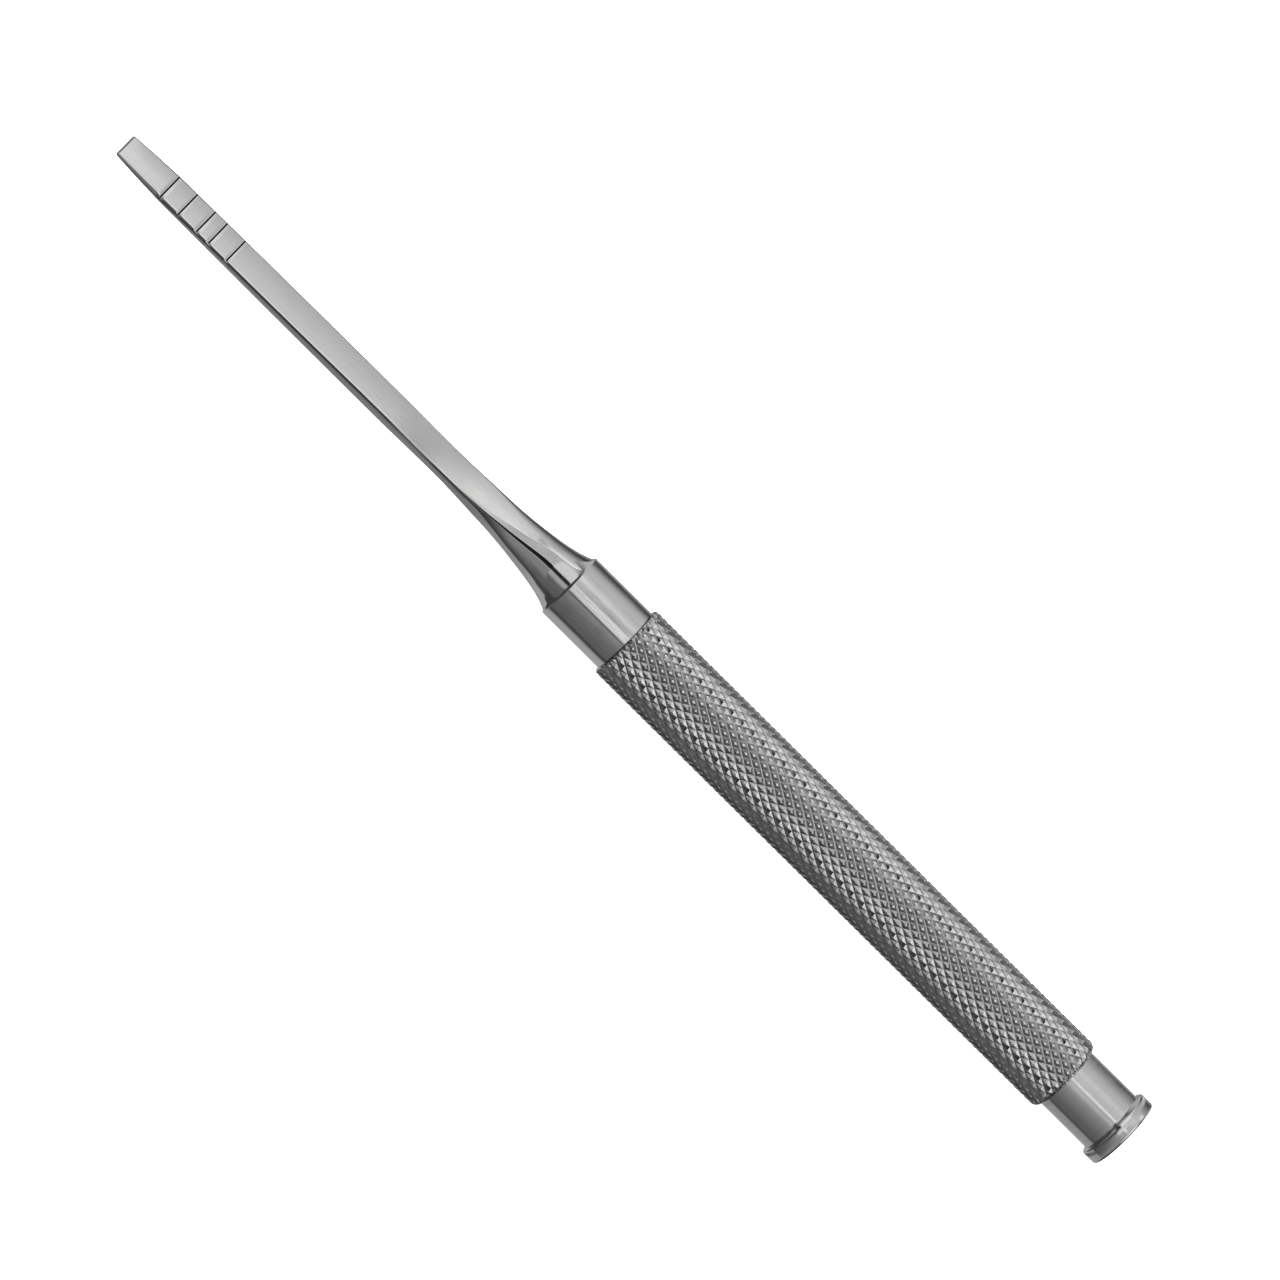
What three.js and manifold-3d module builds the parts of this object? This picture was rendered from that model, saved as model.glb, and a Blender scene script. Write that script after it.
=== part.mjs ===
// Straight dental osteotome: a flat bone chisel with depth lines, on a knurled round handle
// that ends in a flanged head for a mallet.
//
// Millimetres, +Z up. The tool lies along X. The strike face is at x = 0, the cutting edge is
// at x = OVERALL_LENGTH, and the broad face that carries the depth lines looks up, along +Z.

import * as THREE from "three";
import { mergeVertices } from "three/addons/utils/BufferGeometryUtils.js";
import Module from "manifold-3d";

const wasm = await Module();
wasm.setup();

// ---------------------------------------------------------------- driving dimensions

const OVERALL_LENGTH = 170.3;

const HEAD_FLANGE = { radius: 5.05, length: 2.1, edgeRadius: 0.35 };
const HEAD_BARREL = { radius: 4.35, length: 7.9 };
const HEAD_SPIGOT_LENGTH = 16;
const HEAD_ROOT_FILLET = 0.3;

const SLEEVE = { radius: 5.25, length: 75.4, boreRadius: 3.5 };
const SLEEVE_FRONT_CHAMFER = 0.25;
const SLEEVE_REAR_ROUND = 0.9;

const COLLAR = { radius: 4.6, length: 9.57, frontEdge: 0.06 };
const TANG_LENGTH = 24;
const SPIGOT_RADIUS = SLEEVE.boreRadius - 0.1; // the tang and the head's spigot, less the solder film
const SPIGOT_LEAD_IN = 0.8;

const SOLDER_SEAT = { radius: 4.05, depth: 0.8 }; // counterbore at each mouth of the sleeve
const SEAM = 0.03; // gap left where two pieces butt or nest

// Distances from the back of the rounded nose to the near side of each line, and the lines' size.
const DEPTH_MARKS = [7, 10, 13, 15, 18];
const MARK = { zero: 0.3, width: 0.28, depth: 0.16, recess: 0.03, edgeMargin: 0.2 };

// The blade and neck as sections, measured back from the cutting edge. Each is a rectangle with
// round corners, which grows into a circle where the neck meets the collar. Rise is how far the
// section's middle lies above the tool's axis.
const EDGE_HALF_WIDTH = 1.8;
const NOSE = { length: 0.36, edgeHalfThickness: 0.05, halfThickness: 0.27, cornerLoss: 0.12 };
const BEVEL_LENGTH = 7.3;
const BLADE_CORNER = 0.31;
const BLADE_SECTIONS = [
  { back: BEVEL_LENGTH, halfWidth: 2.19, halfThickness: 0.55, corner: 0.5, rise: 0.1 },
  { back: 18.3, halfWidth: 2.17, halfThickness: 0.68, corner: 0.36, rise: 0.12 },
  { back: 32.3, halfWidth: 2.145, halfThickness: 0.8, corner: BLADE_CORNER, rise: 0.13 },
  { back: 45.3, halfWidth: 2.09, halfThickness: 0.9, corner: BLADE_CORNER, rise: 0.15 },
  { back: 54.3, halfWidth: 2.07, halfThickness: 0.8, corner: BLADE_CORNER, rise: 0.19 },
  { back: 57.8, halfWidth: 2.12, halfThickness: 0.92, corner: 0.36, rise: 0.18 },
  { back: 60.8, halfWidth: 2.16, halfThickness: 1.22, corner: 0.56, rise: 0.13 },
  { back: 63.5, halfWidth: 2.32, halfThickness: 1.55, corner: 1.12, rise: 0.08 },
  { back: 65.9, halfWidth: 2.55, halfThickness: 1.95, corner: 1.76, rise: 0.03 },
  { back: 68.3, halfWidth: 2.8, halfThickness: 2.5, corner: 2.38, rise: 0 },
  { back: 70.7, halfWidth: 3.09, halfThickness: 3.08, corner: 3.02, rise: 0 },
  { back: 71.8, halfWidth: 3.3, halfThickness: 3.3, corner: 3.3, rise: 0 },
];
const FLARE_SLOPE = 0.19; // of the neck's side where the flare starts
const NECK_STEPS_PER_SECTION = 3;
const NOSE_STEPS = 4;
const BEVEL_STEPS = 6;
const FLARE_STEPS = 7;

const ROUND_SIDES = 36; // every round piece is a polygon of this many sides, all turned alike
const FILLET_STEPS = 5;

// ---------------------------------------------------------------- places along the tool

const BARREL_START = HEAD_FLANGE.length;
const SLEEVE_START = BARREL_START + HEAD_BARREL.length;
const SLEEVE_END = SLEEVE_START + SLEEVE.length;
const COLLAR_START = SLEEVE_END + SEAM;
const COLLAR_END = COLLAR_START + COLLAR.length;
const FLARE_START = OVERALL_LENGTH - BLADE_SECTIONS.at(-1).back;

// ---------------------------------------------------------------- materials

const metal = (color, roughness) =>
  new THREE.MeshStandardMaterial({ color, roughness, metalness: 1 });

const polishedSteel = metal(0xc9c9c6, 0.22);
const knurledSteel = metal(0xa9a9a7, 0.38);
const satinSteel = metal(0xbfbfbc, 0.3);
const silverSolder = metal(0xd6d1c0, 0.35);
const blackFilling = new THREE.MeshStandardMaterial({ color: 0x161616, roughness: 0.7, metalness: 0 });

// ---------------------------------------------------------------- geometry helpers

// A quarter circle from one profile point to another, as [x, radius] points without its start.
function quarterArc(centre, radius, fromAngle, toAngle) {
  return Array.from({ length: FILLET_STEPS }, (_, i) => {
    const angle = fromAngle + ((toAngle - fromAngle) * (i + 1)) / FILLET_STEPS;
    return [centre[0] + radius * Math.cos(angle), centre[1] + radius * Math.sin(angle)];
  });
}

// Turns a profile of [x, radius] points about the X axis.
function turned(profile) {
  const points = profile.map(([x, radius]) => new THREE.Vector2(radius, x));
  const geometry = new THREE.LatheGeometry(points, ROUND_SIDES, Math.PI / ROUND_SIDES);
  return geometry.rotateZ(-Math.PI / 2);
}

// The outline of a section: a rectangle with round corners, as [y, z] points. Its corners hold
// as many points as a quarter of a round piece, so that a circle matches the turned pieces.
function sectionOutline({ halfWidth, halfThickness, corner, rise }) {
  const perCorner = ROUND_SIDES / 4;
  const outline = [];
  for (let i = 0; i < ROUND_SIDES; i++) {
    const angle = ((i + 0.5) / perCorner) * (Math.PI / 2);
    const sideY = Math.sign(Math.cos(angle));
    const sideZ = Math.sign(Math.sin(angle));
    outline.push([
      sideY * (halfWidth - corner) + corner * Math.cos(angle),
      sideZ * (halfThickness - corner) + corner * Math.sin(angle) + rise,
    ]);
  }
  return outline;
}

// Skins a row of sections, each with its place x, falling along the row, into one closed body.
function lofted(sections) {
  const positions = [];
  const index = [];
  const ringOf = (row) => row * ROUND_SIDES;
  for (const section of sections) {
    for (const [y, z] of sectionOutline(section)) positions.push(section.x, y, z);
  }
  for (let row = 0; row + 1 < sections.length; row++) {
    for (let i = 0; i < ROUND_SIDES; i++) {
      const next = (i + 1) % ROUND_SIDES;
      const a = ringOf(row) + i;
      const b = ringOf(row) + next;
      const c = ringOf(row + 1) + i;
      const d = ringOf(row + 1) + next;
      index.push(a, d, b, a, c, d);
    }
  }
  const capCentres = positions.length / 3;
  for (const end of [sections[0], sections.at(-1)]) positions.push(end.x, 0, end.rise);
  for (let i = 0; i < ROUND_SIDES; i++) {
    const next = (i + 1) % ROUND_SIDES;
    const last = ringOf(sections.length - 1);
    index.push(capCentres, i, next, capCentres + 1, last + next, last + i);
  }
  const geometry = new THREE.BufferGeometry();
  geometry.setAttribute("position", new THREE.Float32BufferAttribute(positions, 3));
  geometry.setIndex(index);
  return geometry;
}

function solidOf(geometry) {
  const bare = geometry.clone();
  bare.deleteAttribute("normal");
  bare.deleteAttribute("uv");
  const merged = mergeVertices(bare, 1e-4);
  const mesh = new wasm.Mesh({
    numProp: 3,
    vertProperties: merged.attributes.position.array,
    triVerts: new Uint32Array(merged.index.array),
  });
  return new wasm.Manifold(mesh);
}

function geometryOf(solid) {
  const mesh = solid.getMesh();
  const geometry = new THREE.BufferGeometry();
  geometry.setAttribute("position", new THREE.Float32BufferAttribute(mesh.vertProperties, 3));
  geometry.setIndex(new THREE.BufferAttribute(mesh.triVerts, 1));
  geometry.computeVertexNormals();
  return geometry;
}

// ---------------------------------------------------------------- blade, neck, collar and tang

// The section in the bevel, which ends in a rounded nose.
function bevelSection(back) {
  const first = BLADE_SECTIONS[0];
  const share = back / BEVEL_LENGTH;
  const rounded = Math.sqrt(1 - Math.max(1 - back / NOSE.length, 0) ** 2);
  const nose = THREE.MathUtils.lerp(NOSE.edgeHalfThickness, NOSE.halfThickness, rounded);
  const halfThickness = nose + (first.halfThickness - NOSE.halfThickness) * share ** 0.7;
  const width = EDGE_HALF_WIDTH + (first.halfWidth - EDGE_HALF_WIDTH) * share ** 0.6;
  return {
    back,
    halfWidth: width - NOSE.cornerLoss * (1 - rounded),
    halfThickness,
    corner: Math.min(first.corner, halfThickness * 0.9),
    rise: first.rise,
  };
}

// The section at a distance back from the edge, on a smooth curve through the listed ones.
const bladeCurves = ["halfWidth", "halfThickness", "corner", "rise"].map((size) => [
  size,
  new THREE.SplineCurve(BLADE_SECTIONS.map((s) => new THREE.Vector2(s.back, s[size]))),
]);

function bladeSection(step) {
  const share = step / ((BLADE_SECTIONS.length - 1) * NECK_STEPS_PER_SECTION);
  const section = {};
  for (const [size, curve] of bladeCurves) {
    const point = curve.getPoint(share);
    section.back = point.x;
    section[size] = point.y;
  }
  section.corner = Math.min(section.corner, section.halfWidth, section.halfThickness);
  return section;
}

function circle(x, radius) {
  return { x, halfWidth: radius, halfThickness: radius, corner: radius, rise: 0 };
}

function bladeSections() {
  const sections = [];
  for (let i = 0; i < NOSE_STEPS; i++) {
    sections.push(bevelSection(NOSE.length * (1 - Math.cos((i / NOSE_STEPS) * (Math.PI / 2)))));
  }
  for (let i = 0; i < BEVEL_STEPS; i++) {
    sections.push(bevelSection(THREE.MathUtils.lerp(NOSE.length, BEVEL_LENGTH, i / BEVEL_STEPS)));
  }
  const bladeSteps = (BLADE_SECTIONS.length - 1) * NECK_STEPS_PER_SECTION;
  for (let i = 0; i <= bladeSteps; i++) sections.push(bladeSection(i));
  return sections.map((section) => ({ ...section, x: OVERALL_LENGTH - section.back }));
}

// The flare, up to the collar: it carries on the neck's slope and curls outwards.
function neckFlare() {
  const start = BLADE_SECTIONS.at(-1).halfWidth;
  const run = FLARE_START - COLLAR_END;
  const bulge = COLLAR.radius - COLLAR.frontEdge - start - FLARE_SLOPE * run;
  return Array.from({ length: FLARE_STEPS }, (_, i) => {
    const share = Math.sin(((i + 1) / FLARE_STEPS) * (Math.PI / 2));
    const curl = bulge * (1 - Math.sqrt(1 - share ** 2));
    return circle(FLARE_START - run * share, start + FLARE_SLOPE * run * share + curl);
  });
}

function blade() {
  const tangEnd = COLLAR_START - TANG_LENGTH;
  const sections = [
    ...bladeSections(),
    ...neckFlare(),
    circle(COLLAR_END - COLLAR.frontEdge, COLLAR.radius),
    circle(COLLAR_START, COLLAR.radius),
    circle(COLLAR_START, SPIGOT_RADIUS),
    circle(tangEnd + SPIGOT_LEAD_IN, SPIGOT_RADIUS),
    circle(tangEnd, SPIGOT_RADIUS - SPIGOT_LEAD_IN / 2),
  ];
  let solid = solidOf(lofted(sections));
  for (const depth of DEPTH_MARKS) solid = solid.subtract(solidOf(markBox(depth, 0)));
  const mesh = new THREE.Mesh(geometryOf(solid), satinSteel);
  mesh.name = "blade";
  return mesh;
}

// ---------------------------------------------------------------- depth lines

// Half width, half thickness and rise at a distance back from the edge, beyond the bevel.
function bladeSizeAt(back) {
  const after = BLADE_SECTIONS.findIndex((s) => s.back > back);
  const [a, b] = [BLADE_SECTIONS[after - 1], BLADE_SECTIONS[after]];
  const share = (back - a.back) / (b.back - a.back);
  return {
    halfWidth: THREE.MathUtils.lerp(a.halfWidth, b.halfWidth, share),
    halfThickness: THREE.MathUtils.lerp(a.halfThickness, b.halfThickness, share),
    rise: THREE.MathUtils.lerp(a.rise, b.rise, share),
  };
}

// The groove of one depth line, or with a margin the filling that lies in it.
function markBox(depth, margin) {
  const back = MARK.zero + depth + MARK.width / 2;
  const { halfWidth, halfThickness, rise } = bladeSizeAt(back);
  const face = halfThickness + rise;
  const isFilling = margin > 0;
  const bottom = face - MARK.depth + margin;
  const top = isFilling ? face - MARK.recess : face + 1;
  const reach = isFilling ? halfWidth - MARK.edgeMargin : halfWidth + 1;
  const box = new THREE.BoxGeometry(MARK.width - 2 * margin, 2 * reach, top - bottom);
  return box.translate(OVERALL_LENGTH - back, 0, (top + bottom) / 2);
}

function markFilling(depth) {
  const mesh = new THREE.Mesh(markBox(depth, SEAM), blackFilling);
  mesh.name = `depth_line_${String(depth).padStart(2, "0")}mm`;
  return mesh;
}

// ---------------------------------------------------------------- handle

// The knurled tube, drawn at the crests of its knurl, with a solder seat at each mouth.
function gripSleeve() {
  const { radius, boreRadius } = SLEEVE;
  const round = SLEEVE_REAR_ROUND;
  const rear = SLEEVE_START;
  const front = SLEEVE_END;
  const outside = [
    [rear, radius - round],
    ...quarterArc([rear + round, radius - round], round, Math.PI, Math.PI / 2),
    [front - SLEEVE_FRONT_CHAMFER, radius],
    [front, radius - SLEEVE_FRONT_CHAMFER],
  ];
  const inside = [
    [front, SOLDER_SEAT.radius],
    [front - SOLDER_SEAT.depth, SOLDER_SEAT.radius],
    [front - SOLDER_SEAT.depth, boreRadius],
    [rear + SOLDER_SEAT.depth, boreRadius],
    [rear + SOLDER_SEAT.depth, SOLDER_SEAT.radius],
    [rear, SOLDER_SEAT.radius],
  ];
  const profile = [...outside, ...inside, outside[0]];
  const mesh = new THREE.Mesh(turned(profile), knurledSteel);
  mesh.name = "grip_sleeve";
  return mesh;
}

// The flanged plug that takes the mallet: flange, barrel and the spigot inside the sleeve.
function strikeHead() {
  const { radius, length, edgeRadius: edge } = HEAD_FLANGE;
  const barrelEnd = SLEEVE_START - SEAM;
  const spigotEnd = barrelEnd + HEAD_SPIGOT_LENGTH;
  const fillet = HEAD_ROOT_FILLET;
  const profile = [
    [0, 0],
    [0, radius - edge],
    ...quarterArc([edge, radius - edge], edge, Math.PI, Math.PI / 2),
    [length - edge, radius],
    ...quarterArc([length - edge, radius - edge], edge, Math.PI / 2, 0),
    ...quarterArc([length + fillet, HEAD_BARREL.radius + fillet], fillet, Math.PI, 1.5 * Math.PI),
    [barrelEnd, HEAD_BARREL.radius],
    [barrelEnd, SPIGOT_RADIUS],
    [spigotEnd - SPIGOT_LEAD_IN, SPIGOT_RADIUS],
    [spigotEnd, SPIGOT_RADIUS - SPIGOT_LEAD_IN / 2],
    [spigotEnd, 0],
  ];
  const mesh = new THREE.Mesh(turned(profile), polishedSteel);
  mesh.name = "strike_head";
  return mesh;
}

// A ring of silver solder in the seat at one mouth of the sleeve.
function solderRing(name, start) {
  const outer = SOLDER_SEAT.radius - SEAM;
  const inner = SPIGOT_RADIUS + SEAM;
  const end = start + SOLDER_SEAT.depth - 2 * SEAM;
  const profile = [
    [start, inner],
    [start, outer],
    [end, outer],
    [end, inner],
    [start, inner],
  ];
  const mesh = new THREE.Mesh(turned(profile), silverSolder);
  mesh.name = name;
  return mesh;
}

// ---------------------------------------------------------------- the tool

const osteotome = new THREE.Group();
osteotome.add(
  blade(),
  gripSleeve(),
  strikeHead(),
  solderRing("front_solder_ring", SLEEVE_END - SOLDER_SEAT.depth + SEAM),
  solderRing("rear_solder_ring", SLEEVE_START + SEAM),
  ...DEPTH_MARKS.map(markFilling),
);

export default osteotome;
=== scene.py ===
"""Finished look of a straight dental osteotome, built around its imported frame.

The tool lies along X, with the strike face at x = 0 and the cutting edge at the far end. The broad
blade face that carries the depth lines looks up. Lengths in the classes are in millimetres, and
meshes are written in metres.
"""

from __future__ import annotations

import logging
import math
from dataclasses import dataclass, field, replace
from enum import Enum

import bmesh
import bpy
from mathutils import Matrix, Vector


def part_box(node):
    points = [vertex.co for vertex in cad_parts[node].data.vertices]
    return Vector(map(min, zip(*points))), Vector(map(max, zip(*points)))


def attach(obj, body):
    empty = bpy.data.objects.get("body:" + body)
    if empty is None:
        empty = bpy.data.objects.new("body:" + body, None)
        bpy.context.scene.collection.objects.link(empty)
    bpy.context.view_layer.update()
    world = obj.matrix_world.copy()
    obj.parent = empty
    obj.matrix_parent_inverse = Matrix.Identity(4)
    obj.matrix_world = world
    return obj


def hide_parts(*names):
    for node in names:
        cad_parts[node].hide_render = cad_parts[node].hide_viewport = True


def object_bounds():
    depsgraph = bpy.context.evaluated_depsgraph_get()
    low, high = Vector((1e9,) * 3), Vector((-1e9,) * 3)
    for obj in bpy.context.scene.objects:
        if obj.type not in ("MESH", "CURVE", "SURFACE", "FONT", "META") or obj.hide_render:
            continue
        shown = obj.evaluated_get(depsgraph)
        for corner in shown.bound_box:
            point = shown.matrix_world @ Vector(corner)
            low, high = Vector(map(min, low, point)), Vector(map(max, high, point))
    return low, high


LOG = logging.getLogger("osteotome")
MM = 0.001
WHITE = (1.0, 1.0, 1.0, 1.0)
FULL_TURN = 2 * math.pi
QUARTER_TURN = math.pi / 2
Socket = bpy.types.NodeSocket
Sockets = bpy.types.bpy_prop_collection
Feed = Socket | float | tuple[float, ...]
Pairs = tuple[tuple[str, float], ...]
Span = tuple[float, float]

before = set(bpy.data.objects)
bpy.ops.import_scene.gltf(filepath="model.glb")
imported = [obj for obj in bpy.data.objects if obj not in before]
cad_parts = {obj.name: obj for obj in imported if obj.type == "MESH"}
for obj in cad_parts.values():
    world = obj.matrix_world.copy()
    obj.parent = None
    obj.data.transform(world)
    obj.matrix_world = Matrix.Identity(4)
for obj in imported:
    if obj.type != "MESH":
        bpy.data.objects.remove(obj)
cad_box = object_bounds()


class Side(Enum):
    """Which end of the handle a detail belongs to."""

    STRIKE = "strike"
    BLADE = "blade"


# --- node helpers


class NodeTree:
    """A thin wrapper that adds and links shader nodes."""

    def __init__(self, tree: bpy.types.NodeTree) -> None:
        """Wraps the tree that gets the nodes."""
        self.tree = tree

    def add(self, kind: str, inputs: dict | None = None, **settings: object) -> bpy.types.Node:
        """Adds a node.

        Args:
            kind: Blender's type name of the node.
            inputs: Values or output sockets, by input name or index.
            settings: Attributes of the node itself.

        Returns:
            The new node.
        """
        node = self.tree.nodes.new(kind)
        for name, value in settings.items():
            setattr(node, name, value)
        self.feed_all(node, inputs or {})
        return node

    def feed_all(self, node: bpy.types.Node, inputs: dict) -> None:
        """Feeds several inputs of a node, given by name or index."""
        for name, value in inputs.items():
            self.feed(node.inputs[name], value)

    def feed(self, socket: Socket, value: Feed) -> None:
        """Links an output socket to an input, or sets the input's value.

        Args:
            socket: The input socket.
            value: An output socket, or a plain value.
        """
        if isinstance(value, Socket):
            self.tree.links.new(value, socket)
        else:
            socket.default_value = value

    def math(self, operation: str, *values: Feed) -> Socket:
        """Adds a Math node on up to three sockets or numbers, and returns its result."""
        return self.add("ShaderNodeMath", dict(enumerate(values)), operation=operation).outputs[0]

    def object_point(self) -> Socket:
        """Returns the shaded point in the piece's own frame."""
        return self.add("ShaderNodeTexCoord").outputs["Object"]

    def parts(self, vector: Socket) -> Sockets:
        """Returns the sockets of a vector's three parts."""
        return self.add("ShaderNodeSeparateXYZ", {0: vector}).outputs

    def noise(self, point: Socket, scale: Feed, detail: float) -> Socket:
        """Returns noise read at a point, with its rate of change per metre and its finer layers."""
        inputs = {"Vector": point, "Scale": scale, "Detail": detail}
        return self.add("ShaderNodeTexNoise", inputs).outputs[0]

    def ramp(
        self, value: Socket, low: Feed, high: Feed, to_low: float = 0.0, to_high: float = 1.0
    ) -> Socket:
        """Maps a value smoothly from one range to another, and holds it there.

        Args:
            value: The socket to map.
            low: Where the rise starts.
            high: Where the rise ends.
            to_low: Result at low.
            to_high: Result at high.

        Returns:
            The result's socket.
        """
        inputs = {0: value, 1: low, 2: high, 3: to_low, 4: to_high}
        node = self.add("ShaderNodeMapRange", inputs, interpolation_type="SMOOTHSTEP")
        return node.outputs[0]

    def mix_colour(self, factor: Socket, first: Feed, second: Feed) -> Socket:
        """Returns a mix of two colours, where the factor is the share of the second."""
        return self.add("ShaderNodeMix", {0: factor, 6: first, 7: second}, data_type="RGBA").outputs[2]


@dataclass(frozen=True)
class EffectGroup:
    """A shader node group that puts out values which change over the surface."""

    name: str = "effect"
    sockets_in: Pairs = ()
    sockets_out: tuple[str, ...] = ()

    def fill(self, nodes: NodeTree, given: Sockets, result: Sockets) -> None:
        """Adds the group's own nodes, from its given inputs to the sockets of its results."""
        raise NotImplementedError

    def tree(self) -> bpy.types.NodeTree:
        """Returns the node group, built once."""
        found = bpy.data.node_groups.get(self.name)
        if found:
            return found
        group = bpy.data.node_groups.new(self.name, "ShaderNodeTree")
        for name, default in self.sockets_in:
            socket = group.interface.new_socket(name, in_out="INPUT", socket_type="NodeSocketFloat")
            socket.default_value = default
        for name in self.sockets_out:
            group.interface.new_socket(name, in_out="OUTPUT", socket_type="NodeSocketFloat")
        nodes = NodeTree(group)
        given = nodes.add("NodeGroupInput").outputs
        result = nodes.add("NodeGroupOutput").inputs
        self.fill(nodes, given, result)
        return group

    def place(self, nodes: NodeTree, values: tuple[float, ...]) -> Sockets:
        """Places the group in a material with values for its first inputs, and returns its outputs."""
        return nodes.add("ShaderNodeGroup", dict(enumerate(values)), node_tree=self.tree()).outputs


@dataclass(frozen=True)
class CutLines(EffectGroup):
    """The fine lines that a cut leaves: noise with one rate along the tool and one across it."""

    sockets_out: tuple[str, ...] = ("Height", "Mask")
    detail: float = 4.0
    mask_range: Span = (0.42, 0.66)

    def rates(self, nodes: NodeTree, given: Sockets) -> tuple[Feed, Feed]:
        """Returns how quickly the noise changes along the tool and across it, per metre."""
        raise NotImplementedError

    def fill(self, nodes: NodeTree, given: Sockets, result: Sockets) -> None:
        """Stretches noise by the two rates.

        Args:
            nodes: The group's tree.
            given: The group's inputs.
            result: The group's outputs.
        """
        parts = nodes.parts(nodes.object_point())
        along, across = self.rates(nodes, given)
        scaled = {i: nodes.math("MULTIPLY", parts[i], rate) for i, rate in enumerate((along, across, across))}
        point = nodes.add("ShaderNodeCombineXYZ", scaled).outputs[0]
        noise = nodes.noise(point, 1.0, self.detail)
        nodes.feed(result["Height"], noise)
        nodes.feed(result["Mask"], nodes.ramp(noise, *self.mask_range))


@dataclass(frozen=True)
class GrindingLines(CutLines):
    """Fine straight scratches that run along the tool, as a grinding belt leaves them."""

    name: str = "grinding_lines"
    sockets_in: Pairs = (("Lines per mm", 7.0), ("Stretch", 14.0))

    def rates(self, nodes: NodeTree, given: Sockets) -> tuple[Feed, Feed]:
        """Returns a quick rate across the tool and a stretched one along it."""
        across = nodes.math("DIVIDE", given["Lines per mm"], MM)
        return nodes.math("DIVIDE", across, given["Stretch"]), across


@dataclass(frozen=True)
class TurningLines(CutLines):
    """Fine rings about the tool's axis, as a lathe leaves them."""

    name: str = "turning_lines"
    sockets_in: Pairs = (("Rings per mm", 6.0),)
    detail: float = 3.0
    mask_range: Span = (0.4, 0.68)
    across_per_mm: float = 0.12

    def rates(self, nodes: NodeTree, given: Sockets) -> tuple[Feed, Feed]:
        """Returns a quick rate along the tool and a slow one around it."""
        return nodes.math("DIVIDE", given["Rings per mm"], MM), self.across_per_mm / MM


@dataclass(frozen=True)
class HandlingMarks(EffectGroup):
    """Faint cloudy marks and sparse specks from handling and washing."""

    name: str = "handling_marks"
    sockets_in: Pairs = (("Clouds per mm", 0.25), ("Specks per mm", 2.2))
    sockets_out: tuple[str, ...] = ("Clouds", "Specks")
    cloud_detail: float = 3.0
    speck_detail: float = 5.0
    cloud_range: Span = (0.35, 0.7)
    speck_range: Span = (0.64, 0.74)

    def fill(self, nodes: NodeTree, given: Sockets, result: Sockets) -> None:
        """Adds slow noise for clouds, and quick noise cut high for specks.

        Args:
            nodes: The group's tree.
            given: The group's inputs.
            result: The group's outputs.
        """
        point = nodes.object_point()
        clouds = nodes.noise(point, nodes.math("DIVIDE", given["Clouds per mm"], MM), self.cloud_detail)
        specks = nodes.noise(point, nodes.math("DIVIDE", given["Specks per mm"], MM), self.speck_detail)
        nodes.feed(result["Clouds"], nodes.ramp(clouds, *self.cloud_range))
        nodes.feed(result["Specks"], nodes.ramp(specks, *self.speck_range))


@dataclass(frozen=True)
class EdgeWear(EffectGroup):
    """Where the steel stands proud and has been rubbed bright."""

    name: str = "edge_wear"
    sockets_in: Pairs = (("Edge start", 0.52), ("Edge full", 0.6))
    sockets_out: tuple[str, ...] = ("Edges",)

    def fill(self, nodes: NodeTree, given: Sockets, result: Sockets) -> None:
        """Reads the surface's pointiness."""
        point = nodes.add("ShaderNodeNewGeometry").outputs["Pointiness"]
        nodes.feed(result["Edges"], nodes.ramp(point, given["Edge start"], given["Edge full"]))


@dataclass(frozen=True)
class KnurlDepth(EffectGroup):
    """The knurl's crests and groove floors, from the distance to the axis, for a painted highlight on the
    crests and painted shade in the floors, and its pressed grain.
    """

    name: str = "knurl_depth"
    sockets_in: Pairs = (("Crest", 5.25), ("Depth", 0.22))
    sockets_out: tuple[str, ...] = ("Highlit crests", "Shaded floors", "Grain")
    crest_range: Span = (0.06, 0.16)
    floor_range: Span = (0.84, 0.95)
    grain_per_mm: float = 3.5
    grain_detail: float = 4.0

    def fill(self, nodes: NodeTree, given: Sockets, result: Sockets) -> None:
        """Measures the radius and compares it with the crest's.

        Args:
            nodes: The group's tree.
            given: The group's inputs.
            result: The group's outputs.
        """
        point = nodes.object_point()
        parts = nodes.parts(point)
        flat = nodes.add("ShaderNodeCombineXYZ", {1: parts[1], 2: parts[2]}).outputs[0]
        radius = nodes.add("ShaderNodeVectorMath", {0: flat}, operation="LENGTH").outputs["Value"]
        below = nodes.math("SUBTRACT", given["Crest"], nodes.math("DIVIDE", radius, MM))
        share = nodes.math("DIVIDE", below, given["Depth"])
        # Crest mask: the crests, which are lightened by rubbed wear and a painted highlight.
        nodes.feed(result["Highlit crests"], nodes.ramp(share, *self.crest_range, 1.0, 0.0))
        # Floor mask: the groove floors, which are darkened with painted shade.
        nodes.feed(result["Shaded floors"], nodes.ramp(share, *self.floor_range))
        nodes.feed(result["Grain"], nodes.noise(point, self.grain_per_mm / MM, self.grain_detail))


# --- finishes


def grey(share: float) -> tuple[float, float, float]:
    """Returns a grey with a very faint warmth."""
    return (share, share, share * 0.992)


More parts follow.
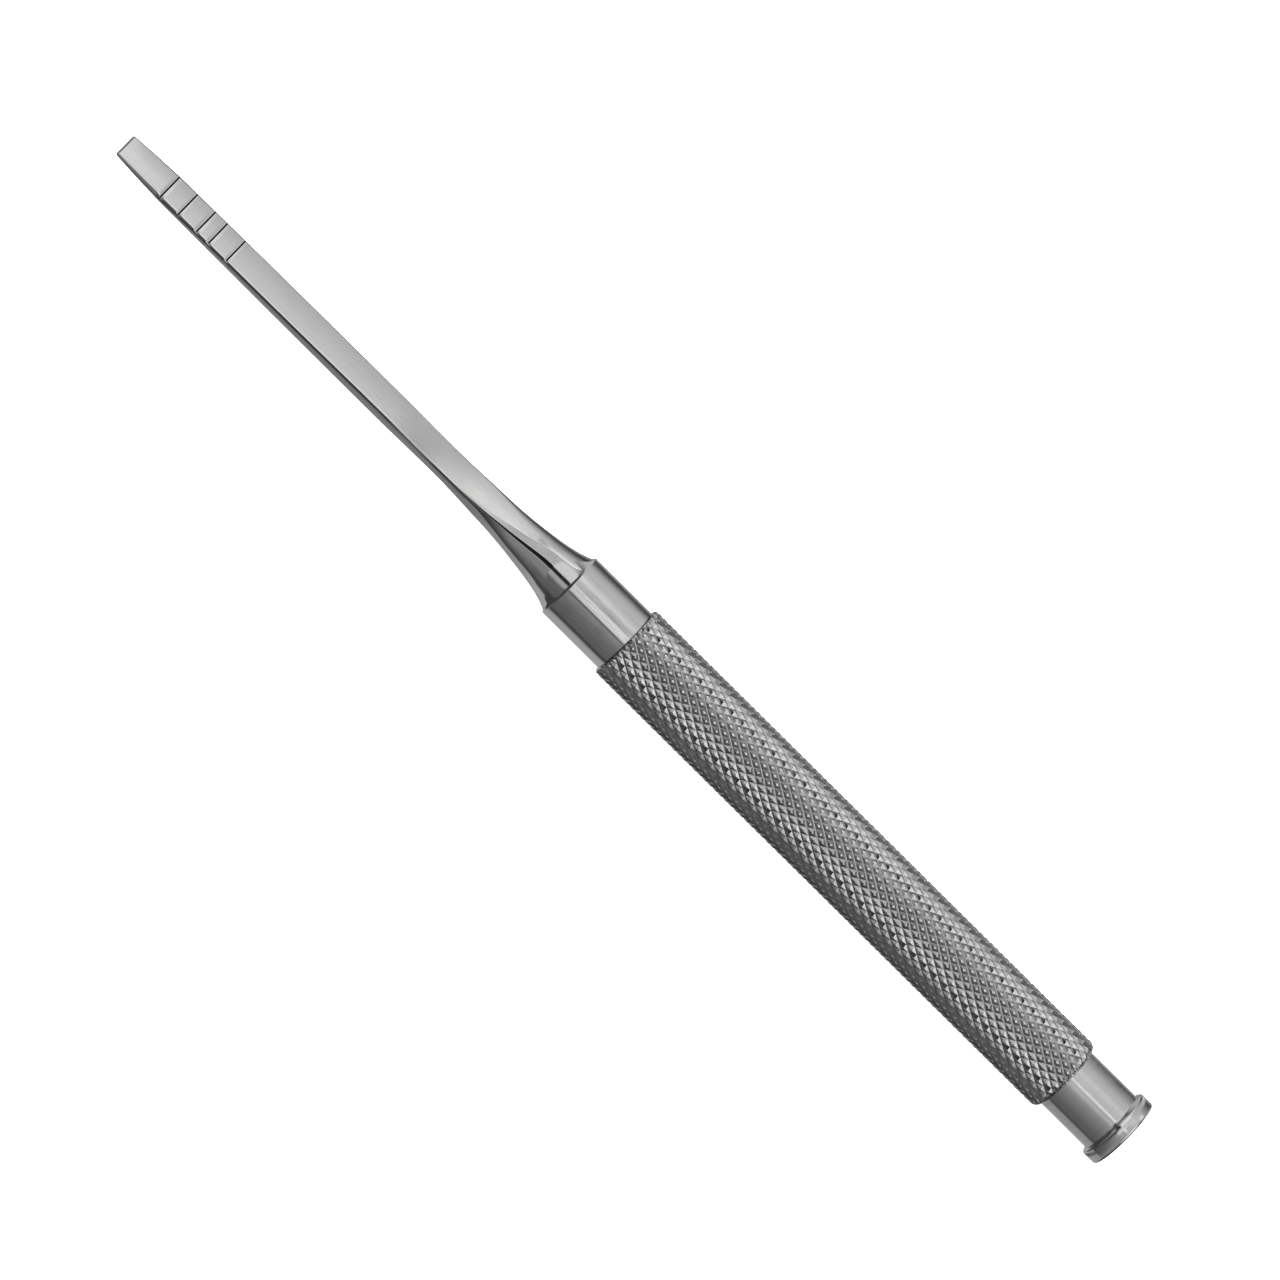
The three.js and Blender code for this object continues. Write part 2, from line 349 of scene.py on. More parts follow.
@dataclass(frozen=True)
class Finish:
    """A surface finish: one colour and roughness, and what changes them over the surface.

    Effects come with the values of their groups' inputs. A tint is an effect's output and the colour
    where that output is 1, and a colour is a share of the tone. A roughening is an effect's output
    and the roughness that it adds.
    """

    slot: str
    effects: tuple[tuple[EffectGroup, tuple[float, ...]], ...] = ()
    tone: float = 0.8
    base: tuple[float, float, float] = grey(1.0)
    tints: tuple[tuple[str, tuple[float, float, float]], ...] = ()
    roughness: float = 0.1
    roughening: Pairs = ()
    height: str = "Height"
    relief: float = 0.001
    metallic: float = 1.0
    specular: float = 0.5

    def shade(self, colour: tuple[float, float, float]) -> tuple[float, ...]:
        """Returns a colour for a socket, from its share of the tone."""
        return (*(self.tone * part for part in colour), 1.0)

    def material(self) -> bpy.types.Material:
        """Returns the material, built once."""
        found = bpy.data.materials.get(self.slot)
        if found and found.get("finished"):
            return found
        material = bpy.data.materials.new(self.slot)
        material["finished"] = True
        material.use_nodes = True
        nodes = NodeTree(material.node_tree)
        layers = {}
        for effect, values in self.effects:
            layers.update(effect.place(nodes, values).items())
        colour = self.shade(self.base)
        for name, tint in self.tints:
            colour = nodes.mix_colour(layers[name], colour, self.shade(tint))
        roughness = self.roughness
        for name, added in self.roughening:
            roughness = nodes.math("MULTIPLY_ADD", layers[name], added, roughness)
        raised = {"Height": layers[self.height], "Distance": self.relief * MM, "Strength": 1.0}
        values = {
            "Metallic": self.metallic,
            "Specular IOR Level": self.specular,
            "Base Color": colour,
            "Roughness": roughness,
            "Normal": nodes.add("ShaderNodeBump", raised).outputs[0],
        }
        nodes.feed_all(material.node_tree.nodes["Principled BSDF"], values)
        return material


@dataclass(frozen=True)
class GroundSteel(Finish):
    """Steel ground along its length and then polished, as on the blade and its neck."""

    slot: str = "satin_steel"
    effects: tuple = ((GrindingLines(), ()), (HandlingMarks(), ()), (EdgeWear(), ()))
    tints: tuple = (("Mask", grey(0.95)), ("Specks", grey(0.88)), ("Edges", grey(1.08)))
    roughness: float = 0.055
    roughening: Pairs = (("Mask", 0.04), ("Clouds", 0.03))
    relief: float = 0.00025


@dataclass(frozen=True)
class TurnedSteel(GroundSteel):
    """Steel turned and polished, as on the struck end."""

    slot: str = "polished_steel"
    effects: tuple = ((TurningLines(), ()), (HandlingMarks(), ()), (EdgeWear(), ()))
    tints: tuple = (("Mask", grey(0.95)), ("Specks", grey(0.9)), ("Edges", grey(1.08)))
    roughness: float = 0.08
    relief: float = 0.0002


@dataclass(frozen=True)
class KnurledSteel(Finish):
    """Steel pressed into a knurl: crests rubbed smooth and lightened with a painted highlight, groove floors
    burnished smooth and darkened with painted shade, and dull flanks.
    """

    slot: str = "knurled_steel"
    effects: tuple = ((HandlingMarks(), (0.3, 3.0)), (KnurlDepth(), ()))
    base: tuple = grey(0.8)
    tints: tuple = (
        ("Clouds", grey(0.68)),
        ("Specks", grey(0.5)),
        # Groove floors darkened: painted shade in the recesses.
        ("Shaded floors", grey(0.7)),
        # Crests lightened: part rubbed wear, part painted highlight.
        ("Highlit crests", grey(1.14)),
    )
    roughness: float = 0.12
    roughening: Pairs = (("Clouds", 0.06), ("Highlit crests", -0.05), ("Shaded floors", -0.05))
    height: str = "Grain"
    relief: float = 0.002


@dataclass(frozen=True)
class SilverSolder(Finish):
    """Pale, warm solder that has flowed and set with a slight ripple."""

    slot: str = "silver_solder"
    effects: tuple = ((HandlingMarks(), (0.8, 4.0)),)
    tone: float = 0.78
    base: tuple = (1.0, 0.95, 0.84)
    tints: tuple = (("Clouds", (0.8, 0.74, 0.62)),)
    roughness: float = 0.32
    roughening: Pairs = (("Clouds", 0.15),)
    height: str = "Clouds"
    relief: float = 0.01


@dataclass(frozen=True)
class BlackFilling(Finish):
    """The matt black that fills the depth lines, slightly uneven and dusty."""

    slot: str = "black_filling"
    effects: tuple = ((HandlingMarks(), (1.5, 8.0)),)
    tone: float = 0.002
    tints: tuple = (("Clouds", grey(2.2)),)
    roughness: float = 0.62
    roughening: Pairs = (("Specks", 0.2),)
    height: str = "Specks"
    relief: float = 0.006
    metallic: float = 0.0
    specular: float = 0.15


# --- mesh helpers


def arc(centre: tuple[float, float], radius: float, start: float, end: float, steps: int) -> list:
    """Gives the points of an arc in a profile.

    Args:
        centre: Place along the axis and radius of the arc's centre.
        radius: The arc's radius.
        start: First angle in degrees, with 0 towards +X and 90 outwards.
        end: Last angle in degrees.
        steps: Number of steps.

    Returns:
        The points, both ends included.
    """
    points = []
    for i in range(steps + 1):
        angle = math.radians(start + (end - start) * i / steps)
        points.append((centre[0] + radius * math.cos(angle), centre[1] + radius * math.sin(angle)))
    return points


@dataclass
class SteelPiece:
    """A piece of the tool that is built up as one closed mesh, in place of a plain solid."""

    name: str
    node: str
    finish: Finish
    sharp_deg: float
    flat_weight: int = 60
    mesh: bmesh.types.BMesh = field(default_factory=bmesh.new)

    def vertex(self, x: float, y: float, z: float) -> bmesh.types.BMVert:
        """Adds a vertex at a place in millimetres."""
        return self.mesh.verts.new(Vector((x, y, z)) * MM)

    def around(self, x: float, radius: float, angle: float) -> bmesh.types.BMVert:
        """Adds a vertex at a radius from the axis and an angle about it."""
        return self.vertex(x, radius * math.cos(angle), radius * math.sin(angle))

    def skin(self, rings: list) -> None:
        """Joins a row of closed rings with faces.

        Args:
            rings: Lists of vertices, all of one length.
        """
        for ring, following in zip(rings, rings[1:]):
            count = len(ring)
            for i in range(count):
                j = (i + 1) % count
                self.mesh.faces.new((ring[i], ring[j], following[j], following[i]))

    def cap(self, ring: list, x: float) -> None:
        """Closes a ring with a fan of faces around a point on the axis.

        Args:
            ring: The ring's vertices.
            x: Where the fan's middle is.
        """
        middle = self.vertex(x, 0, 0)
        for i, vertex in enumerate(ring):
            self.mesh.faces.new((middle, vertex, ring[(i + 1) % len(ring)]))

    def shape(self) -> None:
        """Adds all the vertices and faces."""
        raise NotImplementedError

    def build(self) -> None:
        """Builds the mesh, shades it, hangs it on the tool in place of its solid, and reports it."""
        self.shape()
        bmesh.ops.recalc_face_normals(self.mesh, faces=self.mesh.faces)
        data = bpy.data.meshes.new(self.name)
        self.mesh.to_mesh(data)
        self.mesh.free()
        for polygon in data.polygons:
            polygon.use_smooth = True
        data.set_sharp_from_angle(angle=math.radians(self.sharp_deg))
        data.materials.append(self.finish.material())
        piece = bpy.data.objects.new(self.name, data)
        bpy.context.scene.collection.objects.link(piece)
        weighted = piece.modifiers.new("flat faces stay flat", "WEIGHTED_NORMAL")
        weighted.keep_sharp = True
        weighted.weight = self.flat_weight
        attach(piece, "root")
        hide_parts(self.node)
        LOG.info("%s: %d faces, finish %s", piece.name, len(data.polygons), self.finish.slot)


# --- blade, neck and collar


@dataclass(frozen=True)
class Section:
    """A cut across the blade or neck: a rectangle with round corners and crowned broad faces."""

    back: float
    half_width: float
    half_thickness: float
    corner: float
    crown: float = 0.0
    rise: float = 0.0


@dataclass
class Blade(SteelPiece):
    """Blade, neck, collar and tang, ground from one bar."""

    name: str = "blade_and_neck"
    node: str = "blade"
    finish: Finish = GroundSteel()
    sharp_deg: float = 34.0
    length: float = 170.3
    tip_half_width: float = 1.8
    tip_half_thickness: float = 0.05
    tip_corner: float = 0.12
    nose_length: float = 0.36
    nose_half_thickness: float = 0.27
    nose_steps: int = 7
    bevel_length: float = 7.3
    bevel_fullness: float = 0.7
    bevel_width_fullness: float = 0.6
    bevel_corner_share: float = 0.9
    crown_growth: float = 3.0
    sections: tuple[Section, ...] = (
        Section(7.3, 2.225, 0.6, 0.5, 0.06, 0.075),
        Section(18.3, 2.175, 0.69, 0.36, 0.06, 0.115),
        Section(32.3, 2.145, 0.8, 0.31, 0.06, 0.13),
        Section(45.3, 2.09, 0.9, 0.31, 0.06, 0.15),
        Section(54.3, 2.07, 0.8, 0.31, 0.06, 0.19),
        Section(57.8, 2.12, 0.92, 0.36, 0.06, 0.18),
        Section(60.8, 2.16, 1.22, 0.56, 0.05, 0.13),
        Section(63.5, 2.32, 1.55, 1.12, 0.03, 0.08),
        Section(65.9, 2.55, 1.95, 1.76, 0.01, 0.03),
        Section(68.3, 2.8, 2.5, 2.38),
        Section(70.7, 3.09, 3.08, 3.02),
        Section(71.8, 3.3, 3.3, 3.3),
    )
    flare_slope: float = 0.19
    flare_crest: float = 4.54
    flare_steps: int = 14
    collar_radius: float = 4.6
    collar_start: float = 85.43
    collar_end: float = 95.0
    rear_chamfer: float = 0.12
    tang_radius: float = 3.4
    tang_length: float = 24.0
    tang_lead: float = 0.8
    corner_steps: int = 10
    face_steps: int = 12
    step: float = 0.4
    line_seam: float = 0.03
    line_chamfer: float = 0.1
    line_chamfer_depth: float = 0.016
    line_margin: float = 1.5
    edge_steps: int = 4

    def between(self, back: float) -> Section:
        """Gives the section at a distance back from the cutting edge.

        Args:
            back: Distance in millimetres.

        Returns:
            The section there, on a smooth curve through the listed ones.
        """
        if back < self.bevel_length:
            return self.bevel(back)
        last = len(self.sections) - 1
        index = 0
        while index < last - 1 and self.sections[index + 1].back < back:
            index += 1
        near = [self.sections[min(max(index + k, 0), last)] for k in (-1, 0, 1, 2)]
        share = (back - near[1].back) / (near[2].back - near[1].back)
        values = [
            self.curve([getattr(s, size) for s in near], [s.back for s in near], share)
            for size in ("half_width", "half_thickness", "corner", "crown", "rise")
        ]
        corner = min(values[2], values[0], values[1])
        return Section(back, values[0], values[1], corner, max(values[3], 0.0), max(values[4], 0.0))

    @staticmethod
    def curve(values: list, places: list, share: float) -> float:
        """Runs a smooth curve through four values that aren't evenly spaced.

        Args:
            values: The values, of which the middle two bound the stretch.
            places: Where each value holds.
            share: Share of the way along the middle stretch.

        Returns:
            The value there.
        """
        span = places[2] - places[1]

        def slope(before: int, after: int) -> float:
            """Gives the slope between two of the places, scaled to the stretch."""
            gap = places[after] - places[before]
            return span * (values[after] - values[before]) / gap if gap else 0.0

        start, end = slope(0, 2), slope(1, 3)
        cube, square = share**3, share**2
        rise = (3 * square - 2 * cube) * (values[2] - values[1])
        return values[1] + rise + (cube - 2 * square + share) * start + (cube - square) * end

    def bevel(self, back: float) -> Section:
        """Gives the section inside the bevel, which ends in a rounded nose.

        Args:
            back: Distance from the cutting edge in millimetres.

        Returns:
            The section there.
        """
        first = self.sections[0]
        share = back / self.bevel_length
        nose = max(1 - back / self.nose_length, 0.0)
        rounded = math.sqrt(1 - nose**2)
        flat = self.nose_half_thickness - self.tip_half_thickness
        thickness = self.tip_half_thickness + flat * rounded
        thickness += (first.half_thickness - self.nose_half_thickness) * share**self.bevel_fullness
        spread = first.half_width - self.tip_half_width
        width = self.tip_half_width + spread * share**self.bevel_width_fullness
        width -= self.tip_corner * (1 - rounded)
        corner = min(first.corner, thickness * self.bevel_corner_share)
        crown = first.crown * min(1.0, share * self.crown_growth)
        return Section(back, width, thickness, corner, crown, first.rise)

    def outline(self, section: Section) -> list[tuple[float, float]]:
        """Gives the outline of a section.

        Args:
            section: The section.

        Returns:
            Points as (y, z) in millimetres, counter-clockwise seen from +X.
        """
        flat_y = section.half_width - section.corner
        flat_z = section.half_thickness - section.crown / 2 - section.corner
        points = []
        for quarter in range(4):
            side_y = 1 if quarter in (0, 3) else -1
            side_z = 1 if quarter in (0, 1) else -1
            for i in range(self.corner_steps + 1):
                angle = QUARTER_TURN * (quarter + i / self.corner_steps)
                y = side_y * flat_y + section.corner * math.cos(angle)
                z = side_z * flat_z + section.corner * math.sin(angle)
                points.append((y, z + section.rise))
            if quarter in (0, 2):
                points += self.crowned_face(section, side_z, flat_y)
        return points

    def crowned_face(self, section: Section, side: int, reach: float) -> list[tuple[float, float]]:
        """Gives the points across a broad face, between its two corners.

        Args:
            section: The section.
            side: 1 for the upper face, -1 for the lower.
            reach: Half the width of the face between its corners.

        Returns:
            Points as (y, z).
        """
        points = []
        for i in range(1, self.face_steps):
            share = 1 - 2 * i / self.face_steps
            height = section.half_thickness + section.crown * (0.5 - share**2)
            points.append((side * reach * share, side * height + section.rise))
        return points

    def ring(self, x: float, section: Section, floor: float | None = None) -> list:
        """Adds the vertices of a section, cut off at the floor where it runs through a depth line."""
        top = math.inf if floor is None else floor
        return [self.vertex(x, y, min(z, top)) for y, z in self.outline(section)]

    def depth_lines(self) -> list[tuple[float, float, float]]:
        """Finds the depth lines from their fillings.

        Returns:
            Each groove's rear and front place and the height of its bottom, from the tip backwards.
        """
        grooves = []
        for name in sorted(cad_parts):
            if name.startswith("depth_line"):
                low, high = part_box(name)
                rear = low[0] / MM - self.line_seam
                front = high[0] / MM + self.line_seam
                grooves.append((rear, front, low[2] / MM - self.line_seam))
        return sorted(grooves, reverse=True)

    def blade_rings(self) -> list:
        """Adds the rings of the blade and neck, with the grooves of the depth lines.

        Returns:
            The rings, from the cutting edge backwards.
        """
        grooves = self.depth_lines()
        end = self.sections[-1].back
        nose = [QUARTER_TURN * i / self.nose_steps for i in range(self.nose_steps + 1)]
        found = {self.nose_length * (1 - math.cos(angle)) for angle in nose}
        found |= {i * self.step for i in range(1, int(end / self.step) + 1)} | {end}
        margin = self.line_chamfer * self.line_margin
        for rear, front, _ in grooves:
            near, far = self.length - front - margin, self.length - rear + margin
            found = {place for place in found if place < near or place > far}
        places = sorted(found)
        rings = []
        for rear, front, floor in grooves:
            while places and places[0] < self.length - front:
                rings.append(self.section_ring(places.pop(0)))
            rings += self.groove_rings(rear, front, floor)
        return rings + [self.section_ring(place) for place in places]

    def section_ring(self, back: float, sink: float = 0.0) -> list:
        """Adds a ring of the blade or neck.

        Args:
            back: Distance back from the cutting edge.
            sink: How far the upper face lies below its usual height.

        Returns:
            The ring's vertices.
        """
        plain = self.between(back)
        thickness, rise = plain.half_thickness - sink / 2, plain.rise - sink / 2
        return self.ring(self.length - back, replace(plain, half_thickness=thickness, rise=rise))

    def groove_rings(self, rear: float, front: float, floor: float) -> list:
        """Adds the rings of one groove, with its soft edges.

        Args:
            rear: Place of its rear wall.
            front: Place of its front wall.
            floor: Height of its bottom.

        Returns:
            The rings, from the tip backwards.
        """
        near, far = self.length - front, self.length - rear
        soft, sink = self.line_chamfer, self.line_chamfer_depth
        return [
            self.section_ring(near - soft),
            self.section_ring(near, sink),
            self.ring(front, self.between(near), floor),
            self.ring(rear, self.between(far), floor),
            self.section_ring(far, sink),
            self.section_ring(far + soft),
        ]

    def collar_rings(self) -> list:
        """Adds the rings of the flare, the collar and the tang.

        Returns:
            The rings, from the neck backwards.
        """
        last = self.sections[-1]
        neck_end = self.length - last.back
        run = neck_end - self.collar_end
        bulge = self.flare_crest - last.half_width - self.flare_slope * run
        profile = []
        for i in range(1, self.flare_steps + 1):
            share = math.sin(QUARTER_TURN * i / self.flare_steps)
            curl = bulge * (1 - math.sqrt(1 - share**2))
            radius = last.half_width + self.flare_slope * run * share + curl
            profile.append((neck_end - run * share, radius))
        soft = self.collar_radius - self.flare_crest
        profile += arc((self.collar_end - soft, self.flare_crest), soft, 0, 90, self.edge_steps)[1:]
        chamfer = self.rear_chamfer
        tang_end = self.collar_start - self.tang_length
        profile += [
            (self.collar_start + chamfer, self.collar_radius),
            (self.collar_start, self.collar_radius - chamfer),
            (self.collar_start, self.tang_radius),
            (tang_end + self.tang_lead, self.tang_radius),
            (tang_end, self.tang_radius - self.tang_lead / 2),
        ]
        return [self.ring(x, Section(0.0, radius, radius, radius)) for x, radius in profile]

    def shape(self) -> None:
        """Joins all the rings and closes both ends."""
        rings = self.blade_rings() + self.collar_rings()
        self.skin(rings)
        self.cap(rings[0], self.length)
        self.cap(rings[-1], self.collar_start - self.tang_length)


# --- handle


@dataclass
class GripSleeve(SteelPiece):
    """The knurled tube that is held."""

    name: str = "knurled_grip"
    node: str = "grip_sleeve"
    finish: Finish = KnurledSteel()
    sharp_deg: float = 18.0
    start: float = 10.0
    end: float = 85.4
    radius: float = 5.25
    knurl_starts: int = 29
    knurl_rows: int = 85
    knurl_depth: float = 0.22
    spare_rows: int = 3
    cut_tolerance: float = 0.0001
    rising_groove: float = 0.014
    falling_groove: float = 0.065
    crest_start: float = 0.36
    crest_share: float = 0.95
    rear_round: float = 0.9
    front_chamfer: float = 0.25
    bore_radius: float = 3.5
    seat_radius: float = 4.05
    seat_depth: float = 0.8

    def cuts(self, groove: float) -> tuple[float, ...]:
        """Returns where mesh lines run between two grooves, as shares of their spacing."""
        return (-groove, groove, self.crest_start, 0.5, 1 - self.crest_start)

    def line(self, index: int, groove: float) -> float:
        """Returns a mesh line's place, counted in grooves, for a groove of the given half width."""
        cuts = self.cuts(groove)
        return index // len(cuts) + cuts[index % len(cuts)]

    def height(self, place: float, groove: float) -> float:
        """Gives the height that one family of grooves leaves.

        Args:
            place: Place counted in grooves.
            groove: Half the groove's width as a share of the spacing.

        Returns:
            0 in a groove and 1 on a crest.
        """
        gap = abs(place - round(place))
        crest = self.crest_start
        if gap <= groove:
            return 0.0
        if gap <= crest:
            return self.crest_share * (gap - groove) / (crest - groove)
        return self.crest_share + (1 - self.crest_share) * (gap - crest) / (0.5 - crest)

    def turned_radius(self, x: float) -> float:
        """Gives the radius that the sleeve's ends were turned to.

        Args:
            x: Place along the tool in millimetres.

        Returns:
            The largest radius there.
        """
        from_rear = x - self.start
        from_front = self.end - x
        limit = self.radius
        if from_rear < self.rear_round:
            depth = self.rear_round - max(from_rear, 0.0)
            limit = self.radius - self.rear_round + math.sqrt(self.rear_round**2 - depth**2)
        if from_front < self.front_chamfer:
            limit = min(limit, self.radius - self.front_chamfer + max(from_front, 0.0))
        return limit

    def knurl(self) -> None:
        """Adds the knurled skin, a little longer than the sleeve."""
        lines = len(self.cuts(0.0))
        around = self.knurl_starts * lines
        half_pitch = (self.end - self.start) / self.knurl_rows
        margin = self.spare_rows * lines
        last = self.knurl_rows * lines + margin
        grid = {}
        for i in range(around):
            for k in range(-margin, last + 1):
                first = self.line(i, self.rising_groove)
                second = self.line(i - k, self.falling_groove)
                angle = FULL_TURN * (first + second) / 2 / self.knurl_starts
                x = self.start + half_pitch * (first - second)
                rising = self.height(first, self.rising_groove)
                falling = self.height(second, self.falling_groove)
                crest = self.radius - self.knurl_depth * (1 - min(rising, falling))
                radius = min(crest, self.turned_radius(x))
                grid[i, k] = self.around(x, radius, angle)
        for i in range(around):
            j = (i + 1) % around
            for k in range(-margin + 1, last):
                corners = (grid[i, k], grid[j, k + 1], grid[j, k], grid[i, k - 1])
                self.split(corners, i, i - k)

    def split(self, corners: tuple, i: int, j: int) -> None:
        """Adds one patch of the knurl, split along the ridge if a ridge crosses it.

        Args:
            corners: The patch's vertices.
            i: Line index of its first corner in the first family.
            j: Line index of its first corner in the second family.
        """
        cuts = self.cuts(0.0)
        lines, ridge = len(cuts), cuts.index(0.5)
        rising = (i % lines < ridge) == (j % lines < ridge)
        a, b, c, d = corners
        if i % lines == j % lines or i % lines + j % lines == lines:
            if rising:
                self.mesh.faces.new((a, b, c))
                self.mesh.faces.new((a, c, d))
            else:
                self.mesh.faces.new((a, b, d))
                self.mesh.faces.new((b, c, d))
        else:
            self.mesh.faces.new((a, b, c, d))

    def trim(self, side: Side) -> list:
        """Cuts the skin off square at one end.

        Args:
            side: Which end.

        Returns:
            The edges of the new rim.
        """
        place = self.start if side is Side.STRIKE else self.end
        outwards = -1 if side is Side.STRIKE else 1
        geometry = self.mesh.verts[:] + self.mesh.edges[:] + self.mesh.faces[:]
        cut = bmesh.ops.bisect_plane(
            self.mesh,
            geom=geometry,
            dist=self.cut_tolerance * MM,
            plane_co=Vector((place, 0, 0)) * MM,
            plane_no=(outwards, 0, 0),
            clear_outer=True,
        )
        return [item for item in cut["geom_cut"] if isinstance(item, bmesh.types.BMEdge)]

    def inward(self, rim: list, x: float, radius: float) -> list:
        """Runs the surface on from a rim to a circle.

        Args:
            rim: The rim's edges.
            x: Place of the circle in millimetres.
            radius: Its radius.

        Returns:
            The circle's edges.
        """
        made = bmesh.ops.extrude_edge_only(self.mesh, edges=rim)["geom"]
        for item in made:
            if isinstance(item, bmesh.types.BMVert):
                angle = math.atan2(item.co.z, item.co.y)
                item.co = Vector((x, radius * math.cos(angle), radius * math.sin(angle))) * MM
        edges = [item for item in made if isinstance(item, bmesh.types.BMEdge)]
        return [edge for edge in edges if len(edge.link_faces) == 1]

    def shape(self) -> None:
        """Knurls the outside, then runs both ends in to the bore."""
        self.knurl()
        rims = []
        for side in Side:
            rim = self.trim(side)
            place = self.start if side is Side.STRIKE else self.end
            inside = self.seat_depth if side is Side.STRIKE else -self.seat_depth
            rim = self.inward(rim, place, self.seat_radius)
            rim = self.inward(rim, place + inside, self.seat_radius)
            rims.append(self.inward(rim, place + inside, self.bore_radius))
        bmesh.ops.bridge_loops(self.mesh, edges=rims[0] + rims[1])


@dataclass
class StrikeHead(SteelPiece):
    """The flanged plug that takes the mallet."""

    name: str = "flanged_head"
    node: str = "strike_head"
    finish: Finish = TurnedSteel()
    sharp_deg: float = 40.0
    flange_radius: float = 5.05
    flange_length: float = 2.1
    edge_round: float = 0.35
    barrel_radius: float = 4.35
    barrel_end: float = 9.97
    root_fillet: float = 0.25
    spigot_radius: float = 3.4
    spigot_length: float = 16.0
    spigot_lead: float = 0.8
    sides: int = 160
    arc_steps: int = 6
    face_rings: Span = (0.35, 0.7)

    def profile(self) -> list[tuple[float, float]]:
        """Returns the plug's profile, from the middle of the strike face to the spigot's end."""
        edge, fillet = self.edge_round, self.root_fillet
        rim = self.flange_radius - edge
        spigot_end = self.barrel_end + self.spigot_length
        points = [(0.0, rim * share) for share in self.face_rings]
        points += arc((edge, rim), edge, 180, 90, self.arc_steps)
        points += arc((self.flange_length - edge, rim), edge, 90, 0, self.arc_steps)
        root = (self.flange_length + fillet, self.barrel_radius + fillet)
        points += arc(root, fillet, 180, 270, self.arc_steps)
        points += [
            (self.barrel_end, self.barrel_radius),
            (self.barrel_end, self.spigot_radius),
            (spigot_end - self.spigot_lead, self.spigot_radius),
            (spigot_end, self.spigot_radius - self.spigot_lead / 2),
        ]
        return points

    def shape(self) -> None:
        """Turns the profile about the axis and closes both ends."""
        turns = [FULL_TURN * i / self.sides for i in range(self.sides)]
        rings = [[self.around(x, radius, angle) for angle in turns] for x, radius in self.profile()]
        self.skin(rings)
        self.cap(rings[0], 0.0)
        self.cap(rings[-1], self.barrel_end + self.spigot_length)


@dataclass
class JoiningParts:
    """The solder at the sleeve's mouths and the black in the depth lines."""

    solder: Finish = SilverSolder()
    filling: Finish = BlackFilling()

    def build(self) -> None:
        """Dresses the solids, whose shape is already right."""
        for name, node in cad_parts.items():
            if name.endswith("solder_ring"):
                self.dress(node, self.solder)
            elif name.startswith("depth_line"):
                self.dress(node, self.filling)

    def dress(self, node: bpy.types.Object, finish: Finish) -> None:
        """Puts a finish on a solid.

        Args:
            node: The solid.
            finish: Its finish.
        """
        for place in node.material_slots:
            place.material = finish.material()
        LOG.info("%s: kept as it is, finish %s", node.name, finish.slot)


# --- studio


@dataclass(frozen=True)
class Panorama:
    """What the studio looks like all around the tool, towards one heading along it.

    The heading is how far a direction leans to the tip, from -1 to 1. Each stop is an angle about
    the tool, with 0 towards the camera, and a brightness.
    """

    heading: float
    stops: tuple[tuple[float, float], ...]


LEVEL = (
    (-180, 0.4), (-106, 0.36), (-102, 0.28), (-98, 0.05), (-94, 0.06), (-90, 0.12), (-60, 0.155),
    (-36, 0.21), (-17, 0.31), (-13.5, 0.07), (-10.5, 0.12), (-7.5, 0.82), (4, 0.88), (13, 0.78),
    (16, 0.3), (26, 0.38), (36, 0.54), (42, 0.66), (51, 0.55), (58, 0.44), (80, 0.52), (104, 0.38),
    (114, 0.18), (132, 0.03), (150, 0.3),
)
RAISED = (
    (-180, 0.4), (-104, 0.37), (-98, 0.05), (-90, 0.06), (-76, 0.12), (-56, 0.14), (-38, 0.25),
    (-14, 0.25), (-9, 0.42), (-6, 0.01), (11.5, 0.01), (14, 0.65), (19, 0.5), (57, 0.48), (61, 0.9),
    (65, 0.9), (70, 0.72), (84, 0.5), (96, 0.42), (108, 0.24), (122, 0.08), (132, 0.03), (150, 0.3),
)
FLANKS_LOW = ((-170, 0.4), (-150, 0.05), (-85, 0.05), (-74, 0.11), (-30, 0.15))
FLANKS_HIGH = ((80, 0.18), (95, 0.3), (110, 0.5))
SIDEWAYS = (
    *FLANKS_LOW,
    (-20, 0.6), (0, 0.95), (20, 1.15), (42, 1.1), (54, 0.75), (62, 0.13),
    *FLANKS_HIGH,
)
TIPWARDS = (
    *FLANKS_LOW,
    (-20, 0.42), (-6.5, 0.42), (-5, 0.02), (9, 0.02), (11, 0.72), (44, 0.74), (54, 0.62), (66, 0.16),
    *FLANKS_HIGH,
)
GRIPWARDS = (
    (-180, 0.12), (-100, 0.08), (-60, 0.12), (-30, 0.22), (-18, 0.3), (-11, 0.72), (26, 0.78),
    (34, 0.62), (60, 0.56), (100, 0.5), (116, 0.66), (180, 0.6),
)
EDGE_LIGHT = (
    (-20, 0.3), (20, 0.5), (60, 0.6), (67, 1.0), (78, 1.0), (86, 0.4), (130, 0.1),
)
BARREL = (
    (-180, 0.4), (-106, 0.34), (-98, 0.06), (-90, 0.11), (-68, 0.13), (-34, 0.24), (-18, 0.31),
    (-12, 0.3), (-8, 0.44), (-2, 0.46), (3, 0.35), (6, 0.4), (8, 0.95), (13, 0.95), (16, 0.5),
    (30, 0.55), (40, 0.68), (50, 0.67), (60, 0.54), (78, 0.48), (98, 0.31), (120, 0.12),
    (134, 0.05), (150, 0.3),
)
BROAD_FACE = (
    (-180, 0.34), (-118, 0.26), (-109, 0.18), (-103, 0.06), (-96, 0.03), (-10, 0.03), (9, 0.04),
    (13, 1.0), (46, 1.0), (60, 0.67), (74, 0.52), (90, 0.4), (110, 0.2), (130, 0.05), (150, 0.3),
)
SLOPE = (
    (-180, 0.4), (-104, 0.37), (-98, 0.05), (-76, 0.12), (-38, 0.25), (-14, 0.25), (-9, 0.42),
    (-6, 0.01), (11.5, 0.01), (14, 0.65), (19, 0.52), (55, 0.6), (60, 0.85), (66, 0.85), (71, 0.7),
    (84, 0.5), (108, 0.24), (132, 0.03), (150, 0.3),
)
DARK = ((-180, 0.05), (180, 0.05))


